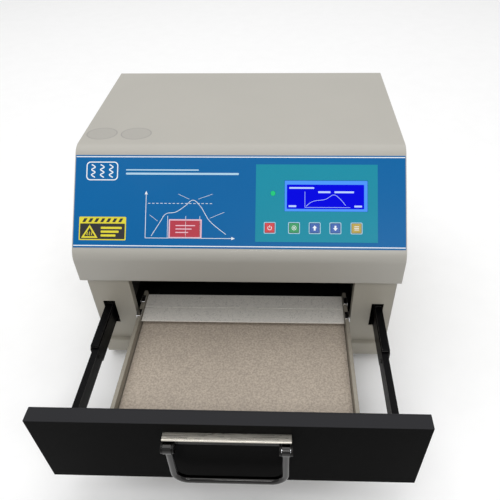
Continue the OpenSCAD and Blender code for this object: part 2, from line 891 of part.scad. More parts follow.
module handle_bracket() {
    leg = bail_w / 2;
    color([0.82, 0.82, 0.84]) place() difference() {
        union() {
            box([-53, drawer_face - 1.6, 96], [53, drawer_face, 112]);
            box([-53, drawer_face - 6.6, 110.5], [53, drawer_face, 112]);
            // rolled front edge of the top flange
            bar_x([0, drawer_face - 6.6, 111.1], 0.9, 106);
            for (s = [-1, 1]) for (e = [-1, 1]) {
                x = s * leg + e * (eye_w / 2 + 0.4 + ear_t / 2);
                pin_ear(x);
            }
        }
        for (s = [-1, 1]) bar_x([s * leg, pivot_y, pivot_z], pin_r, 16);
    }
}

module pin_ear(x) {
    bar_x([x, pivot_y, pivot_z], 4.5, ear_t);
    box([x - ear_t / 2, pivot_y, pivot_z - 4.5], [x + ear_t / 2, drawer_face - 1, pivot_z + 4.5]);
}

module handle_pins() {
    leg = bail_w / 2;
    color([0.6, 0.6, 0.62]) place() for (s = [-1, 1])
        bar_x([s * leg, pivot_y, pivot_z], pin_r, eye_w + 0.8 + 2 * ear_t);
}

// Bail of bent round rod with an eye at each end, hanging straight down
module handle_bail() {
    leg = bail_w / 2;
    corner = 13;
    low = pivot_z - bail_drop;
    color([0.88, 0.88, 0.9]) place() {
        difference() {
            union() {
                both_sides() {
                    bar_x([leg, pivot_y, pivot_z], eye_r, eye_w);
                    translate([leg, pivot_y, low + corner])
                        cylinder(r = bail_r, h = bail_drop - corner, $fn = round_fn);
                    translate([leg - corner, pivot_y, low + corner]) rotate([90, 0, 0])
                        rotate([0, 0, -90]) rotate_extrude(angle = 90, $fn = round_fn)
                            translate([corner, 0]) circle(r = bail_r, $fn = round_fn);
                }
                bar_x([0, pivot_y, low], bail_r, 2 * (leg - corner));
            }
            bar_x([0, pivot_y, pivot_z], pin_r + 0.06, bail_w + 20);
        }
    }
}

top_cover();
side_panel_left();
side_panel_right();
front_frame();
base_pan();
floor_plate();
rear_panel();
front_label();
keypad_overlay();
display_glass();
display_frame();
display_board();
status_led();
control_board();
electronics_shelf();
power_board();
transformer();
capacitors();
heatsink();
chamber_liner();
insulation();
reflector();
heater_tubes();
heater_filaments();
heater_end_caps();
heater_brackets();
thermocouple();
fan_frame();
fan_guard();
fan_rotor();
power_inlet();
fuse_holder();
switch_body();
switch_rocker();
rubber_feet();
foot_screws();
rear_screws();
slide_bracket_left();
slide_bracket_right();
slide_outer_left();
slide_outer_right();
slide_middle_left();
slide_middle_right();
slide_inner_left();
slide_inner_right();
drawer_front();
drawer_back();
drawer_screws();
tray_pan();
tray_plate();
tray_rear_strips();
tray_clips();
handle_bracket();
handle_pins();
handle_bail();
key_power();
key_auto();
key_up();
key_down();
key_set();
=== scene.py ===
"""Looks of the benchtop reflow oven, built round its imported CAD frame."""

import json
import math

import bmesh
import bpy
from mathutils import Matrix, Vector


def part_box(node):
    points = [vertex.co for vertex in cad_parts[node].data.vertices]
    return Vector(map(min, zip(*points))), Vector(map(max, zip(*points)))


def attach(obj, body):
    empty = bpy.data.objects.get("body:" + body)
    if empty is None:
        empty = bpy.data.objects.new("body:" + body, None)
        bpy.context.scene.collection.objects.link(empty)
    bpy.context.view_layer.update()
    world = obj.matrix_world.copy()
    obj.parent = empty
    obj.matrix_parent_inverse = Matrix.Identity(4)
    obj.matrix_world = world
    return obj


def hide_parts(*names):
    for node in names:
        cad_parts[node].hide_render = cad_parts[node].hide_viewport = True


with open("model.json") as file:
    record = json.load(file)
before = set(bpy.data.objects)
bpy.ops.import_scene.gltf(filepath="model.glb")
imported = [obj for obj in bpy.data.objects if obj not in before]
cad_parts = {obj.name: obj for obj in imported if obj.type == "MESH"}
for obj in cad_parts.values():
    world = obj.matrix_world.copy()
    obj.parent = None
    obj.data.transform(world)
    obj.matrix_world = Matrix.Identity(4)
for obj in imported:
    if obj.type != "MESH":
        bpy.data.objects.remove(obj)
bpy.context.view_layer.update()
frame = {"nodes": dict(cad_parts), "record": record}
MM = 0.001

cover_lo, cover_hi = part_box("top_cover")
label_lo, label_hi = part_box("front_label")
glass_lo, glass_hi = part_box("display_glass")

# ---------- camera ----------

# viewing angle, and the eye's place from the middle of the cover's front top edge
PITCH = math.radians(41.45)
YAW = math.radians(2.47)
ROLL = math.radians(-1.09)
EYE_RIGHT = 44.7 * MM
EYE_FORWARD = -379 * MM
EYE_UP = 251.3 * MM
FOCAL_LENGTH = 36.94
SHIFT = (-0.0332, 0.0248)


def make_camera():
    data = bpy.data.cameras.new("camera")
    cam = bpy.data.objects.new("camera", data)
    bpy.context.scene.collection.objects.link(cam)
    right = Vector((1, 0, 0))
    up = Vector((0, math.sin(PITCH), math.cos(PITCH)))
    forward = Vector((0, math.cos(PITCH), -math.sin(PITCH)))
    turn = Matrix.Rotation(YAW, 3, "Z")
    right, up, forward = turn @ right, turn @ up, turn @ forward
    right, up = (
        right * math.cos(ROLL) + up * math.sin(ROLL),
        up * math.cos(ROLL) - right * math.sin(ROLL),
    )
    axes = Matrix((right, up, -forward)).transposed()
    place = Vector((EYE_RIGHT, cover_lo.y + EYE_FORWARD, cover_hi.z + EYE_UP))
    cam.matrix_world = Matrix.Translation(place) @ axes.to_4x4()
    data.sensor_width = 36
    data.lens = FOCAL_LENGTH
    data.shift_x, data.shift_y = SHIFT
    data.clip_start = 0.01
    data.clip_end = 50
    bpy.context.scene.camera = cam


make_camera()

# ---------- materials ----------


def new_material(name):
    """A material with its node tree and shader."""
    mat = bpy.data.materials.new(name)
    mat.use_nodes = True
    tree = mat.node_tree
    return mat, tree, tree.nodes["Principled BSDF"]


def srgb(r, g, b):
    """Linear colour of an 8 bit sRGB one."""
    out = []
    for c in (r, g, b):
        c /= 255
        out.append(c / 12.92 if c <= 0.04045 else ((c + 0.055) / 1.055) ** 2.4)
    return out


def shade(colour, k):
    """The colour k times as light, with its alpha."""
    return [min(1, c * k) for c in colour[:3]] + [1]


def link(tree, source, target):
    tree.links.new(source, target)


def noise(tree, coords, scale, detail=3, rough=0.5):
    """Noise with scale features to a metre, roughly."""
    node = tree.nodes.new("ShaderNodeTexNoise")
    node.inputs["Scale"].default_value = scale
    node.inputs["Detail"].default_value = detail
    node.inputs["Roughness"].default_value = rough
    link(tree, coords, node.inputs["Vector"])
    return node


def ramp(tree, value, stops):
    """Colour ramp of (position, colour) stops."""
    node = tree.nodes.new("ShaderNodeValToRGB")
    ends = node.color_ramp.elements
    ends[0].position, ends[0].color = stops[0]
    ends[1].position, ends[1].color = stops[-1]
    for position, colour in stops[1:-1]:
        made = ends.new(position)
        made.color = colour
    link(tree, value, node.inputs["Fac"])
    return node


def span(tree, value, low, high, start=0.3, end=0.7):
    """Maps a noise value's start to end onto low to high."""
    node = tree.nodes.new("ShaderNodeMapRange")
    node.inputs["From Min"].default_value = start
    node.inputs["From Max"].default_value = end
    node.inputs["To Min"].default_value = low
    node.inputs["To Max"].default_value = high
    link(tree, value, node.inputs["Value"])
    return node


def stretched(tree, coords, sx, sy, sz):
    """Coordinates scaled along each axis, to draw grain out in one direction."""
    node = tree.nodes.new("ShaderNodeMapping")
    node.inputs["Scale"].default_value = (sx, sy, sz)
    link(tree, coords, node.inputs["Vector"])
    return node


def edge_mask(tree, radius):
    """1 on convex edges and corners, 0 on flats."""
    bevel = tree.nodes.new("ShaderNodeBevel")
    bevel.samples = 4
    bevel.inputs["Radius"].default_value = radius
    geometry = tree.nodes.new("ShaderNodeNewGeometry")
    dot = tree.nodes.new("ShaderNodeVectorMath")
    dot.operation = "DOT_PRODUCT"
    link(tree, bevel.outputs["Normal"], dot.inputs[0])
    link(tree, geometry.outputs["Normal"], dot.inputs[1])
    node = tree.nodes.new("ShaderNodeMapRange")
    node.inputs["From Min"].default_value = 0.97
    node.inputs["From Max"].default_value = 0.8
    link(tree, dot.outputs["Value"], node.inputs["Value"])
    return node


def mixed(tree, factor, a, b):
    """Colour a where the factor is 0 and b where it is 1; each is a colour or a socket."""
    node = tree.nodes.new("ShaderNodeMix")
    node.data_type = "RGBA"
    for socket, value in ((node.inputs[6], a), (node.inputs[7], b)):
        if isinstance(value, (list, tuple)):
            socket.default_value = value
        else:
            link(tree, value, socket)
    link(tree, factor, node.inputs[0])
    return node.outputs[2]


def surface(
    name, colour, rough, metal=0.0, vary=0.06, spread=25, grain=900, bump=0.05,
    depth=0.00008, rough_vary=0.08, wear=None, wear_size=0.0005, coat=0.0, brush=None,
    specular=0.5,
):
    """Base for most finishes: slow colour drift, fine grain in bump and gloss, and worn edges.

    brush stretches the grain along one axis, for rolled or brushed metal.
    """
    mat, tree, bsdf = new_material(name)
    coords = tree.nodes.new("ShaderNodeTexCoord").outputs["Object"]
    drift = noise(tree, coords, spread, 4, 0.6)
    base = ramp(
        tree, drift.outputs["Fac"],
        [(0.3, shade(colour, 1 - vary)), (0.7, shade(colour, 1 + vary))],
    ).outputs["Color"]
    fine_coords = stretched(tree, coords, *brush).outputs["Vector"] if brush else coords
    fine = noise(tree, fine_coords, grain, 2, 0.6)
    gloss = span(tree, fine.outputs["Fac"], max(0.02, rough - rough_vary), rough + rough_vary)
    link(tree, gloss.outputs["Result"], bsdf.inputs["Roughness"])
    if wear is not None:
        mask = edge_mask(tree, wear_size)
        patch = noise(tree, coords, 160, 4, 0.7)
        worn = tree.nodes.new("ShaderNodeMath")
        worn.operation = "MULTIPLY"
        link(tree, mask.outputs["Result"], worn.inputs[0])
        link(
            tree, span(tree, patch.outputs["Fac"], 0.1, 0.9, 0.35, 0.65).outputs["Result"],
            worn.inputs[1],
        )
        base = mixed(tree, worn.outputs["Value"], base, [*wear, 1])
    link(tree, base, bsdf.inputs["Base Color"])
    bumps = tree.nodes.new("ShaderNodeBump")
    bumps.inputs["Strength"].default_value = min(1, bump * 6)
    bumps.inputs["Distance"].default_value = depth
    link(tree, fine.outputs["Fac"], bumps.inputs["Height"])
    link(tree, bumps.outputs["Normal"], bsdf.inputs["Normal"])
    bsdf.inputs["Metallic"].default_value = metal
    bsdf.inputs["Coat Weight"].default_value = coat
    bsdf.inputs["Specular IOR Level"].default_value = specular
    return mat


def glowing(name, colour, strength, rough=0.3, body=0.12):
    """Lit from behind: its own light does the work, over a darker body colour."""
    mat = surface(
        name, shade(colour, body)[:3], rough, vary=0.03, grain=2000, bump=0.02, depth=0.00002,
        rough_vary=0.04, specular=0.03,
    )
    bsdf = mat.node_tree.nodes["Principled BSDF"]
    bsdf.inputs["Emission Color"].default_value = [*colour, 1]
    bsdf.inputs["Emission Strength"].default_value = strength
    return mat


def galvanised(name, colour, rough=0.33, metal=0.35):
    """Zinc sheet with its crystal spangle and faint rolling marks."""
    mat, tree, bsdf = new_material(name)
    coords = tree.nodes.new("ShaderNodeTexCoord").outputs["Object"]
    cells = tree.nodes.new("ShaderNodeTexVoronoi")
    cells.inputs["Scale"].default_value = 560
    warp = noise(tree, coords, 180, 3, 0.6)
    bent = tree.nodes.new("ShaderNodeMix")
    bent.data_type = "VECTOR"
    bent.inputs[0].default_value = 0.02
    link(tree, coords, bent.inputs[4])
    link(tree, warp.outputs["Color"], bent.inputs[5])
    link(tree, bent.outputs[1], cells.inputs["Vector"])
    flake = tree.nodes.new("ShaderNodeSeparateColor")
    link(tree, cells.outputs["Color"], flake.inputs["Color"])
    base = ramp(
        tree, flake.outputs["Red"],
        [(0.0, shade(colour, 0.93)), (0.5, shade(colour, 1.0)), (1.0, shade(colour, 1.07))],
    )
    link(tree, base.outputs["Color"], bsdf.inputs["Base Color"])
    rolled = noise(tree, stretched(tree, coords, 4, 1, 1).outputs["Vector"], 300, 3, 0.6)
    blend = tree.nodes.new("ShaderNodeMath")
    blend.operation = "MULTIPLY_ADD"
    blend.inputs[1].default_value = 0.16
    blend.inputs[2].default_value = rough - 0.08
    link(tree, flake.outputs["Green"], blend.inputs[0])
    link(tree, blend.outputs["Value"], bsdf.inputs["Roughness"])
    bumps = tree.nodes.new("ShaderNodeBump")
    bumps.inputs["Strength"].default_value = 0.25
    bumps.inputs["Distance"].default_value = 0.0001
    link(tree, rolled.outputs["Fac"], bumps.inputs["Height"])
    link(tree, bumps.outputs["Normal"], bsdf.inputs["Normal"])
    bsdf.inputs["Metallic"].default_value = metal
    return mat


def speckled_board(name, colour):
    """Matt mineral board: fine pale and dark flecks over a faint cloudy drift."""
    mat, tree, bsdf = new_material(name)
    coords = tree.nodes.new("ShaderNodeTexCoord").outputs["Object"]
    drift = noise(tree, coords, 14, 5, 0.65)
    tones = [
        ramp(tree, drift.outputs["Fac"], [
            (0.3, shade(colour, 0.95 * k)), (0.7, shade(colour, 1.05 * k)),
        ]).outputs["Color"]
        for k in (0.76, 1.2)
    ]
    fleck = noise(tree, coords, 520, 3, 0.7)
    grain = span(tree, fleck.outputs["Fac"], 0, 1, 0.36, 0.64)
    base = mixed(tree, grain.outputs["Result"], *tones)
    link(tree, base, bsdf.inputs["Base Color"])
    link(
        tree, span(tree, fleck.outputs["Fac"], 0.55, 0.8).outputs["Result"],
        bsdf.inputs["Roughness"],
    )
    bumps = tree.nodes.new("ShaderNodeBump")
    bumps.inputs["Strength"].default_value = 0.4
    bumps.inputs["Distance"].default_value = 0.00015
    link(tree, fleck.outputs["Fac"], bumps.inputs["Height"])
    link(tree, bumps.outputs["Normal"], bsdf.inputs["Normal"])
    return mat


def clear_tube(name, colour):
    """Quartz glass."""
    mat = surface(name, colour, 0.12, vary=0.03, bump=0.02, depth=0.00002, rough_vary=0.05)
    bsdf = mat.node_tree.nodes["Principled BSDF"]
    bsdf.inputs["Transmission Weight"].default_value = 0.75
    return mat


def add_stickers(mat, centres, radii):
    """Blank oval films flush on the cover: a slightly greyer patch with a fine rim."""
    tree = mat.node_tree
    bsdf = tree.nodes["Principled BSDF"]
    coords = tree.nodes.new("ShaderNodeTexCoord").outputs["Object"]
    for centre in centres:
        shift = tree.nodes.new("ShaderNodeVectorMath")
        shift.operation = "SUBTRACT"
        shift.inputs[1].default_value = centre
        link(tree, coords, shift.inputs[0])
        scaled = tree.nodes.new("ShaderNodeVectorMath")
        scaled.operation = "DIVIDE"
        scaled.inputs[1].default_value = radii
        link(tree, shift.outputs["Vector"], scaled.inputs[0])
        length = tree.nodes.new("ShaderNodeVectorMath")
        length.operation = "LENGTH"
        link(tree, scaled.outputs["Vector"], length.inputs[0])
        mask = ramp(tree, length.outputs["Value"], [
            (0.0, (0.35, 0.35, 0.35, 1)), (0.88, (0.35, 0.35, 0.35, 1)), (0.92, (1, 1, 1, 1)),
            (0.97, (1, 1, 1, 1)), (0.99, (0, 0, 0, 1)),
        ])
        under = bsdf.inputs["Base Color"].links[0].from_socket
        base = mixed(tree, mask.outputs["Color"], under, [*srgb(150, 147, 142), 1])
        link(tree, base, bsdf.inputs["Base Color"])


def repaint(mat, tests, colour):
    """Another colour where object coordinates pass every (axis, comparison, level) test."""
    tree = mat.node_tree
    bsdf = tree.nodes["Principled BSDF"]
    coords = tree.nodes.new("ShaderNodeTexCoord").outputs["Object"]
    parts = tree.nodes.new("ShaderNodeSeparateXYZ")
    link(tree, coords, parts.inputs["Vector"])
    mask = None
    for axis, comparison, level in tests:
        test = tree.nodes.new("ShaderNodeMath")
        test.operation = comparison
        test.inputs[1].default_value = level
        link(tree, parts.outputs[axis], test.inputs[0])
        if mask is None:
            mask = test.outputs["Value"]
        else:
            both = tree.nodes.new("ShaderNodeMath")
            both.operation = "MULTIPLY"
            link(tree, mask, both.inputs[0])
            link(tree, test.outputs["Value"], both.inputs[1])
            mask = both.outputs["Value"]
    under = bsdf.inputs["Base Color"].links[0].from_socket
    link(tree, mixed(tree, mask, under, [*colour, 1]), bsdf.inputs["Base Color"])


PAINT = srgb(172, 169, 161)
CHASSIS = srgb(164, 159, 147)
BLUE = srgb(1, 97, 158)
TEAL = srgb(14, 137, 160)
STEEL = srgb(206, 205, 206)

MATS = {
    "paint": surface(
        "powder_coat", PAINT, 0.42, vary=0.02, spread=9, grain=1500, bump=0.07,
        wear=srgb(214, 212, 206), coat=0.05,
    ),
    "chassis": surface(
        "chassis_powder_coat", CHASSIS, 0.45, vary=0.025, spread=12, grain=1500, bump=0.07,
        wear=srgb(210, 208, 200),
    ),
    # the base pan's powder coat; the repaint below gives its inside near black painted shade
    "base": surface(
        "base_coat_painted_shade_inside", CHASSIS, 0.45, vary=0.025, spread=12, grain=1500, bump=0.07,
        wear=srgb(210, 208, 200),
    ),
    "blue": surface(
        "printed_blue", BLUE, 0.34, vary=0.03, spread=6, grain=2600, bump=0.02, coat=0.02,
        specular=0.12,
    ),
    "teal": surface(
        "printed_teal", TEAL, 0.36, vary=0.03, spread=8, grain=2600, bump=0.02, coat=0.02,
        specular=0.15,
    ),
    "white": surface("white_ink", srgb(235, 240, 244), 0.4, vary=0.02, bump=0.02),
    "pale_blue": surface("pale_ink", srgb(170, 205, 225), 0.4, vary=0.02, bump=0.02),
    "red_ink": surface("red_ink", srgb(176, 30, 54), 0.4, vary=0.04, bump=0.02),
    "pink_ink": surface("pink_ink", srgb(232, 186, 200), 0.4, vary=0.04, bump=0.02),
    "yellow_ink": surface("yellow_ink", srgb(222, 210, 40), 0.38, vary=0.04, bump=0.02),
    "black_ink": surface("black_ink", srgb(22, 22, 24), 0.4, vary=0.05, bump=0.02),
    "lcd": glowing("display_blue", srgb(0, 2, 228), 0.95, 0.4, 0.03),
    "lcd_edge": glowing("display_edge", srgb(80, 150, 250), 0.9),
    "lcd_ink": glowing("display_ink", srgb(190, 212, 255), 0.9),
    "led": glowing("led_green", srgb(40, 190, 120), 0.5, 0.2, 0.6),
    # black powder coat; the repaint below gives it a paler painted lit top
    "black_steel": surface(
        "drawer_coat_painted_lit_top", srgb(7, 7, 7), 0.5, vary=0.08, spread=18, grain=1700, bump=0.08,
        wear=srgb(40, 40, 42), wear_size=0.0006, specular=0.02,
    ),
    "slide": surface(
        "slide_coat", srgb(9, 9, 10), 0.34, metal=0.05, specular=0.06, vary=0.12, spread=60,
        grain=1100, brush=(1, 0.05, 1), bump=0.05, wear=srgb(120, 118, 114), wear_size=0.0004,
    ),
    # painted shade: a near black sheet on floor_plate, standing in for the shade on the oven's
    # floor inside
    "shade_black": surface(
        "shade_black_sheet", srgb(20, 19, 19), 0.6, vary=0.2, spread=30, grain=700, bump=0.08,
        specular=0.15,
    ),
    # satin nickel on the handle bracket; the repaint below paints its lower part dark, as
    # painted shade
    "nickel": surface(
        "satin_nickel_painted_shade_below", srgb(214, 209, 198), 0.3, metal=0.85, vary=0.03, grain=900,
        brush=(0.05, 1, 1), bump=0.04,
    ),
    # painted reflection: the bail's chrome colour is set near black, standing in for the black
    # drawer front it mirrors
    "bail": surface(
        "chrome_painted_dark_reflection", srgb(38, 37, 36), 0.12, metal=1.0, vary=0.03, grain=700, bump=0.02,
        depth=0.00002, rough_vary=0.03, coat=0.6,
    ),
    "zinc": galvanised("galvanised_sheet", STEEL, 0.3, 0.45),
    # painted sheen: the rear strips get a paler, less metallic copy of the galvanised sheet,
    # standing in for their bright reflections
    "strip": galvanised("strip_sheet_painted_sheen", srgb(232, 228, 220), 0.34, 0.15),
    "tray": galvanised("tray_sheet", srgb(142, 136, 124), 0.42, 0.2),
    "board": speckled_board("mineral_board", srgb(170, 158, 144)),
    "chrome": surface(
        "bright_chrome", srgb(226, 227, 230), 0.09, metal=1.0, vary=0.02, grain=700, bump=0.02,
        depth=0.00002, rough_vary=0.03,
    ),
    "screw": surface(
        "zinc_screw", srgb(205, 204, 200), 0.28, metal=1.0, vary=0.05, grain=1200, bump=0.04,
    ),
    # dark grey steel with a strong slow drift in tone, on the chamber lining and heater brackets
    "liner": surface(
        "dark_lining_steel", srgb(44, 42, 40), 0.55, metal=0.4, vary=0.25, spread=18, grain=500,
        brush=(0.1, 1, 1), bump=0.05,
    ),
    "wool": surface(
        "wool_board", srgb(214, 206, 188), 0.9, vary=0.08, spread=60, grain=700, bump=0.16,
        depth=0.0004,
    ),
    "quartz": clear_tube("quartz", srgb(236, 232, 226)),
    "wire": surface("oxidised_wire", srgb(84, 74, 66), 0.6, metal=0.8, vary=0.2, bump=0.06),
    "ceramic": surface(
        "end_ceramic", srgb(226, 220, 206), 0.7, vary=0.04, spread=80, bump=0.06,
    ),
    "pcb": surface(
        "solder_mask", srgb(16, 92, 46), 0.35, vary=0.12, spread=150, grain=900, bump=0.04,
        coat=0.3,
    ),
    "lamination": surface(
        "laminations", srgb(96, 94, 96), 0.5, metal=0.5, vary=0.1, grain=900, brush=(1, 8, 1),
        bump=0.1,
    ),
    "sleeve": surface("capacitor_sleeve", srgb(30, 40, 92), 0.35, vary=0.06, bump=0.03),
    "alu": surface(
        "extruded_alu", srgb(205, 207, 210), 0.34, metal=1.0, vary=0.04, grain=900,
        brush=(1, 1, 0.05), bump=0.05,
    ),
    "plastic": surface(
        "moulded_black", srgb(28, 28, 30), 0.5, vary=0.08, spread=50, grain=1600, bump=0.09,
        wear=srgb(52, 52, 54),
    ),
    "rocker": surface("moulded_red", srgb(196, 30, 26), 0.3, vary=0.04, bump=0.03),
    "rubber": surface(
        "foot_rubber", srgb(26, 26, 26), 0.75, vary=0.1, grain=900, bump=0.12, depth=0.0002,
    ),
    "key_red": surface(
        "key_red", srgb(204, 44, 52), 0.34, vary=0.05, bump=0.03, wear=srgb(228, 120, 124),
        wear_size=0.0003,
    ),
    "key_green": surface(
        "key_green", srgb(18, 146, 84), 0.34, vary=0.05, bump=0.03, wear=srgb(110, 196, 150),
        wear_size=0.0003,
    ),
    "key_blue": surface(
        "key_blue", srgb(24, 84, 164), 0.34, vary=0.05, bump=0.03, wear=srgb(110, 156, 208),
        wear_size=0.0003,
    ),
    "key_gold": surface(
        "key_gold", srgb(176, 152, 56), 0.34, vary=0.05, bump=0.03, wear=srgb(232, 206, 140),
        wear_size=0.0003,
    ),
}

FINISH = {
    "paint": ["top_cover", "side_panel_left", "side_panel_right"],
    "chassis": ["front_frame", "rear_panel"],
    "base": ["base_pan"],
    "blue": ["front_label"],
    "teal": ["keypad_overlay"],
    "lcd": ["display_glass"],
    "led": ["status_led"],
    "black_steel": ["drawer_front", "drawer_back", "display_frame"],
    "slide": [
        "slide_outer_left", "slide_outer_right", "slide_middle_left", "slide_middle_right",
        "slide_inner_left", "slide_inner_right",
    ],
    "zinc": ["electronics_shelf", "slide_bracket_left", "slide_bracket_right", "reflector"],
    "strip": ["tray_rear_strips"],
    "tray": ["tray_pan"],
    "board": ["tray_plate"],
    "chrome": ["handle_pins", "tray_clips", "fan_guard"],
    "nickel": ["handle_bracket"],
    "bail": ["handle_bail"],
    "screw": ["foot_screws", "rear_screws", "drawer_screws", "thermocouple"],
    "liner": ["chamber_liner", "heater_brackets"],
    "shade_black": ["floor_plate"],
    "wool": ["insulation"],
    "quartz": ["heater_tubes"],
    "wire": ["heater_filaments"],
    "ceramic": ["heater_end_caps"],
    "pcb": ["control_board", "display_board", "power_board"],
    "lamination": ["transformer"],
    "sleeve": ["capacitors"],
    "alu": ["heatsink"],
    "plastic": ["fan_frame", "fan_rotor", "power_inlet", "fuse_holder", "switch_body"],
    "rocker": ["switch_rocker"],
    "rubber": ["rubber_feet"],
    "key_red": ["key_power"],
    "key_green": ["key_auto"],
    "key_blue": ["key_up", "key_down"],
    "key_gold": ["key_set"],
}

base_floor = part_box("base_pan")[0].z
flange_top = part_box("handle_bracket")[1].z
drawer_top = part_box("drawer_front")[1].z
# painted light and shade, by place on each object: near black painted shade inside the base,
# painted shade on the handle bracket below its flange, and a paler painted lit top on the drawer
# front
# painted shade: the base pan's inside, from 24 mm behind the cover's front and above the
# underside, near black
repaint(
    MATS["base"],
    [(1, "GREATER_THAN", cover_lo.y + 24 * MM), (2, "GREATER_THAN", base_floor + 0.6 * MM)],
    srgb(26, 25, 24),
)
# painted shade: the handle bracket is near black from 1.7 mm under its flange's top downwards,
# standing in for the dark it reflects
repaint(MATS["nickel"], [(2, "LESS_THAN", flange_top - 1.7 * MM)], srgb(34, 33, 32))
# painted light: above 0.5 mm under the drawer front's top the coat is paler, a lit top face;
# drawer_back and display_frame share this material, and display_frame, lying wholly above, is
# that colour all over
repaint(MATS["black_steel"], [(2, "GREATER_THAN", drawer_top - 0.5 * MM)], srgb(47, 47, 49))

# two blank oval films near the cover's left front corner
STICKER_XS = (-145.5 * MM, -109.5 * MM)
STICKER_Y = cover_lo.y + 106 * MM
STICKER_RADII = (16.5 * MM, 13 * MM, 4 * MM)
add_stickers(
    MATS["paint"], [(x, STICKER_Y, cover_hi.z) for x in STICKER_XS], STICKER_RADII
)

NODE_MATERIAL = {node: MATS[key] for key, nodes in FINISH.items() for node in nodes}
BODY_OF = {
    node: body
    for body, nodes in frame["record"]["behaviour"]["bodies"].items()
    for node in nodes
}

for node, obj in frame["nodes"].items():
    obj.data.materials.clear()
    obj.data.materials.append(NODE_MATERIAL[node])

# ---------- shells with rolled edges ----------


def smooth_by_angle(mesh, degrees):
    """Smooth shading that stays sharp where faces meet at more than the angle."""
    for face in mesh.polygons:
        face.use_smooth = True
    mesh.set_sharp_from_angle(angle=math.radians(degrees))


def softened(node, width, segments=3, corner=28):
    """Stands in for a CAD node with the same shape, its sharp edges rolled over."""
    bm = bmesh.new()
    bm.from_mesh(frame["nodes"][node].data)
    bmesh.ops.remove_doubles(bm, verts=bm.verts, dist=2e-6)
    bmesh.ops.dissolve_limit(
        bm, angle_limit=math.radians(0.6), verts=bm.verts, edges=bm.edges
    )
    sharp = [
        e for e in bm.edges
        if len(e.link_faces) == 2 and e.calc_face_angle(0) > math.radians(corner)
    ]
    bmesh.ops.bevel(
        bm, geom=sharp, offset=width * MM, offset_type="OFFSET", segments=segments,
        profile=0.5, affect="EDGES", clamp_overlap=True,
    )
    bmesh.ops.triangulate(bm, faces=[f for f in bm.faces if len(f.verts) > 4])
    mesh = bpy.data.meshes.new(node + "_shell")
    bm.to_mesh(mesh)
    bm.free()
    mesh.materials.append(NODE_MATERIAL[node])
    smooth_by_angle(mesh, 32)
    obj = bpy.data.objects.new(node + "_shell", mesh)
    bpy.context.scene.collection.objects.link(obj)
    normals = obj.modifiers.new("weighted", "WEIGHTED_NORMAL")
    normals.keep_sharp = True
    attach(obj, BODY_OF[node])
    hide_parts(node)
    return obj


SOFT_EDGES = {
    "top_cover": 0.3, "side_panel_left": 0.35, "side_panel_right": 0.35, "front_frame": 0.3,
    "base_pan": 0.3, "drawer_front": 0.9, "drawer_back": 0.3, "tray_pan": 0.25,
    "tray_plate": 0.3, "tray_rear_strips": 0.3, "slide_middle_left": 0.25,
    "slide_middle_right": 0.25, "slide_inner_left": 0.25, "slide_inner_right": 0.25,
    "key_power": 0.3, "key_auto": 0.3, "key_up": 0.3, "key_down": 0.3, "key_set": 0.3,
    "handle_bracket": 0.3, "tray_clips": 0.2, "rear_panel": 0.2, "power_inlet": 0.4,
    "switch_body": 0.4, "switch_rocker": 0.4,
}
for node, width in SOFT_EDGES.items():
    softened(node, width)

# ---------- print on the slanted panel ----------

# the slanted face's rise and run, and the printed skin's thickness
COVER_RISE = 77.8
COVER_RUN = 79
SLOPE = math.atan2(COVER_RISE, COVER_RUN)
LABEL_T = 0.3 * MM
UP = Vector((0, math.cos(SLOPE), math.sin(SLOPE)))
OUT = Vector((0, -math.sin(SLOPE), math.cos(SLOPE)))
PANEL = Vector((0, label_lo.y + LABEL_T * math.sin(SLOPE), label_lo.z))


def panel(x, s, n=0.0):
    """Millimetres right of centre, up the slope from the label's lower edge, and out of it."""
    return PANEL + Vector((x * MM, 0, 0)) + UP * (s * MM) + OUT * (n * MM)


def solid_from(bm, ring_low, ring_high):
    """Closed slab between two matching rings of points."""
    low = [bm.verts.new(p) for p in ring_low]
    high = [bm.verts.new(p) for p in ring_high]
    bm.faces.new(high)
    bm.faces.new(list(reversed(low)))
    count = len(low)
    for i in range(count):
        j = (i + 1) % count
        bm.faces.new((low[i], low[j], high[j], high[i]))


def slab(bm, outline, n0, n1, to_world=panel):
    """Closed slab of an outline, from height n0 to n1 out of the panel."""
    solid_from(
        bm, [to_world(x, s, n0) for x, s in outline], [to_world(x, s, n1) for x, s in outline],
    )


def rounded(x0, s0, x1, s1, r, steps=5):
    """Rectangle outline with round corners, counter-clockwise."""
    points = []
    for cx, cs, start in (
        (x1 - r, s0 + r, -90), (x1 - r, s1 - r, 0), (x0 + r, s1 - r, 90), (x0 + r, s0 + r, 180),
    ):
        for i in range(steps + 1):
            a = math.radians(start + 90 * i / steps)
            points.append((cx + r * math.cos(a), cs + r * math.sin(a)))
    return points


def ellipse(cx, cs, rx, rs, steps=40):
    return [
        (
            cx + rx * math.cos(2 * math.pi * i / steps),
            cs + rs * math.sin(2 * math.pi * i / steps),
        )
        for i in range(steps)
    ]


def frame_of(bm, outer, inner, n0, n1, to_world=panel):
    """Closed band between two outlines that have the same number of points."""
    rings = [
        [bm.verts.new(to_world(x, s, n)) for x, s in outline]
        for outline, n in ((outer, n0), (outer, n1), (inner, n1), (inner, n0))
    ]
    count = len(outer)
    for k in range(4):
        a, b = rings[k], rings[(k + 1) % 4]
        for i in range(count):
            j = (i + 1) % count
            bm.faces.new((a[i], a[j], b[j], b[i]))


def stroke(bm, points, width, n0, n1, to_world=panel):
    """Line of even width along points, with mitred corners."""
    half = width / 2
    left, right = [], []
    for i, (x, s) in enumerate(points):
        before = points[max(0, i - 1)]
        after = points[min(len(points) - 1, i + 1)]
        d = Vector((after[0] - before[0], after[1] - before[1])).normalized()
        left.append((x - d.y * half, s + d.x * half))
        right.append((x + d.y * half, s - d.x * half))
    slab_strip(bm, left, right, n0, n1, to_world)


